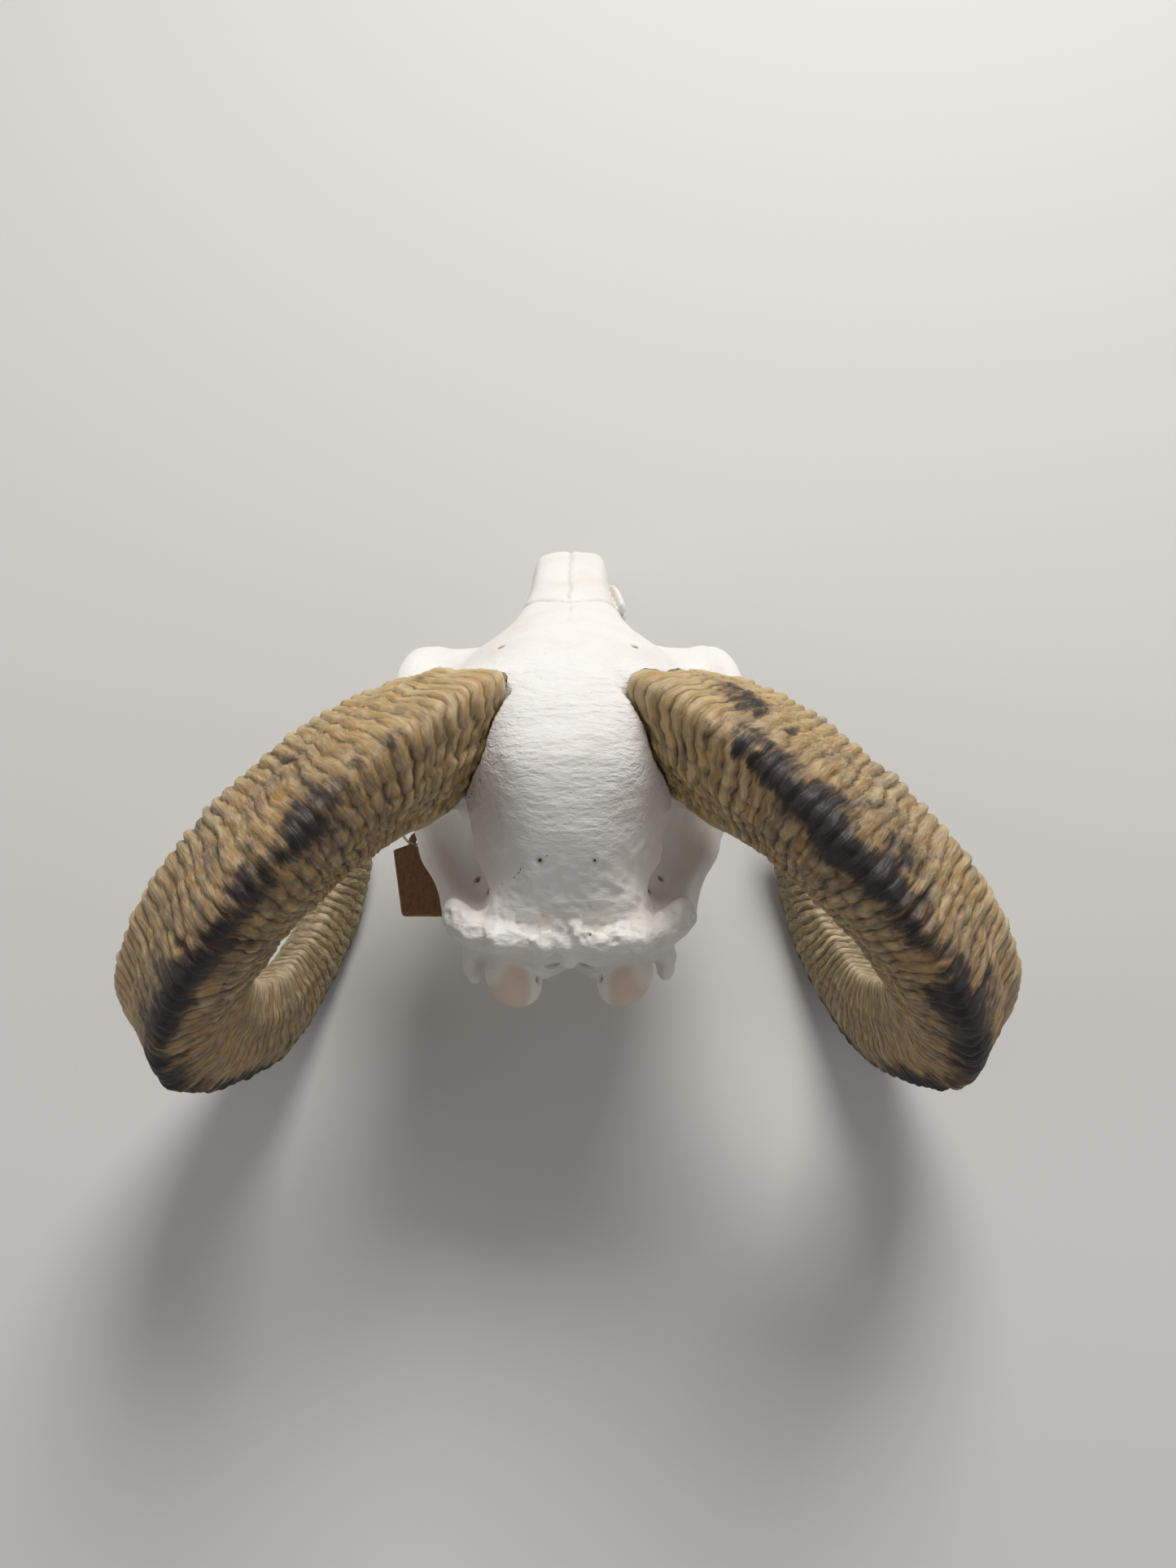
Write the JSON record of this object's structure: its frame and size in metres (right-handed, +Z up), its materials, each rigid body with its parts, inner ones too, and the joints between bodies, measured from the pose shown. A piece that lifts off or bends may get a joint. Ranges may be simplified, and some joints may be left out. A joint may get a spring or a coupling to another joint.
{
  "type": "ram skull with horn sheaths",
  "caption": "Bleached ram skull with two curled horn sheaths that draw off their bone cores, cheek teeth and a blank card tag on a loop.",
  "frame": {"origin": "on the supporting surface, under the middle of the whole object's box", "axes": "+Z up, -Y towards the nose, +X the animal's left"},
  "size_m": [0.3664, 0.3036, 0.2155],
  "materials": {
    "bone": "bleached matt bone",
    "inner_bone": "thin matt bone",
    "core_bone": "porous matt bone",
    "tooth": "worn enamel",
    "horn_keratin": "ridged dry horn",
    "kraft_card": "uncoated brown card",
    "clear_plastic": "clear nylon"
  },
  "bodies": {
    "skull": {"ethmoid": "inner_bone", "frontal_left": "bone", "frontal_right": "bone", "horn_core_left": "core_bone", "horn_core_right": "core_bone", "lacrimal_left": "bone", "lacrimal_right": "bone", "maxilla_left": "bone", "maxilla_right": "bone", "molar_1_left": "tooth", "molar_1_right": "tooth", "molar_2_left": "tooth", "molar_2_right": "tooth", "molar_3_left": "tooth", "molar_3_right": "tooth", "nasal_concha_left": "inner_bone", "nasal_concha_right": "inner_bone", "nasal_left": "bone", "nasal_right": "bone", "occipital": "bone", "palatine_left": "bone", "palatine_right": "bone", "parietal": "bone", "premaxilla_left": "bone", "premaxilla_right": "bone", "premolar_2_left": "tooth", "premolar_2_right": "tooth", "premolar_3_left": "tooth", "premolar_3_right": "tooth", "premolar_4_left": "tooth", "premolar_4_right": "tooth", "sphenoid": "bone", "temporal_left": "bone", "temporal_right": "bone", "tympanic_bulla_left": "bone", "tympanic_bulla_right": "bone", "vomer": "inner_bone", "zygomatic_left": "bone", "zygomatic_right": "bone"},
    "sheath_left": {"horn_sheath_left": "horn_keratin"},
    "sheath_right": {"horn_sheath_right": "horn_keratin"},
    "loop": {"tag_loop": "clear_plastic"},
    "card": {"tag": "kraft_card"}
  },
  "joints": [
    {"name": "sheath_left_draw", "type": "hinge", "parent": "skull", "child": "sheath_left", "pos_m": [0.09379, 0.06081, 0.0946], "axis": [-0.701, 0.7131, 0.0063], "range_deg": [0, 60]},
    {"name": "sheath_right_draw", "type": "hinge", "parent": "skull", "child": "sheath_right", "pos_m": [-0.09379, 0.06081, 0.0946], "axis": [-0.701, -0.7131, -0.0063], "range_deg": [0, 60]},
    {"name": "loop_swing", "type": "hinge", "parent": "skull", "child": "loop", "pos_m": [0.06514, 0.03523, 0.11249], "axis": [-0.211, 0.8783, 0.429], "range_deg": [-20, 20]},
    {"name": "tag_swing", "type": "hinge", "parent": "loop", "child": "card", "pos_m": [0.06514, 0.04573, 0.10347], "axis": [1, 0, 0], "range_deg": [-45, 15]}
  ]
}
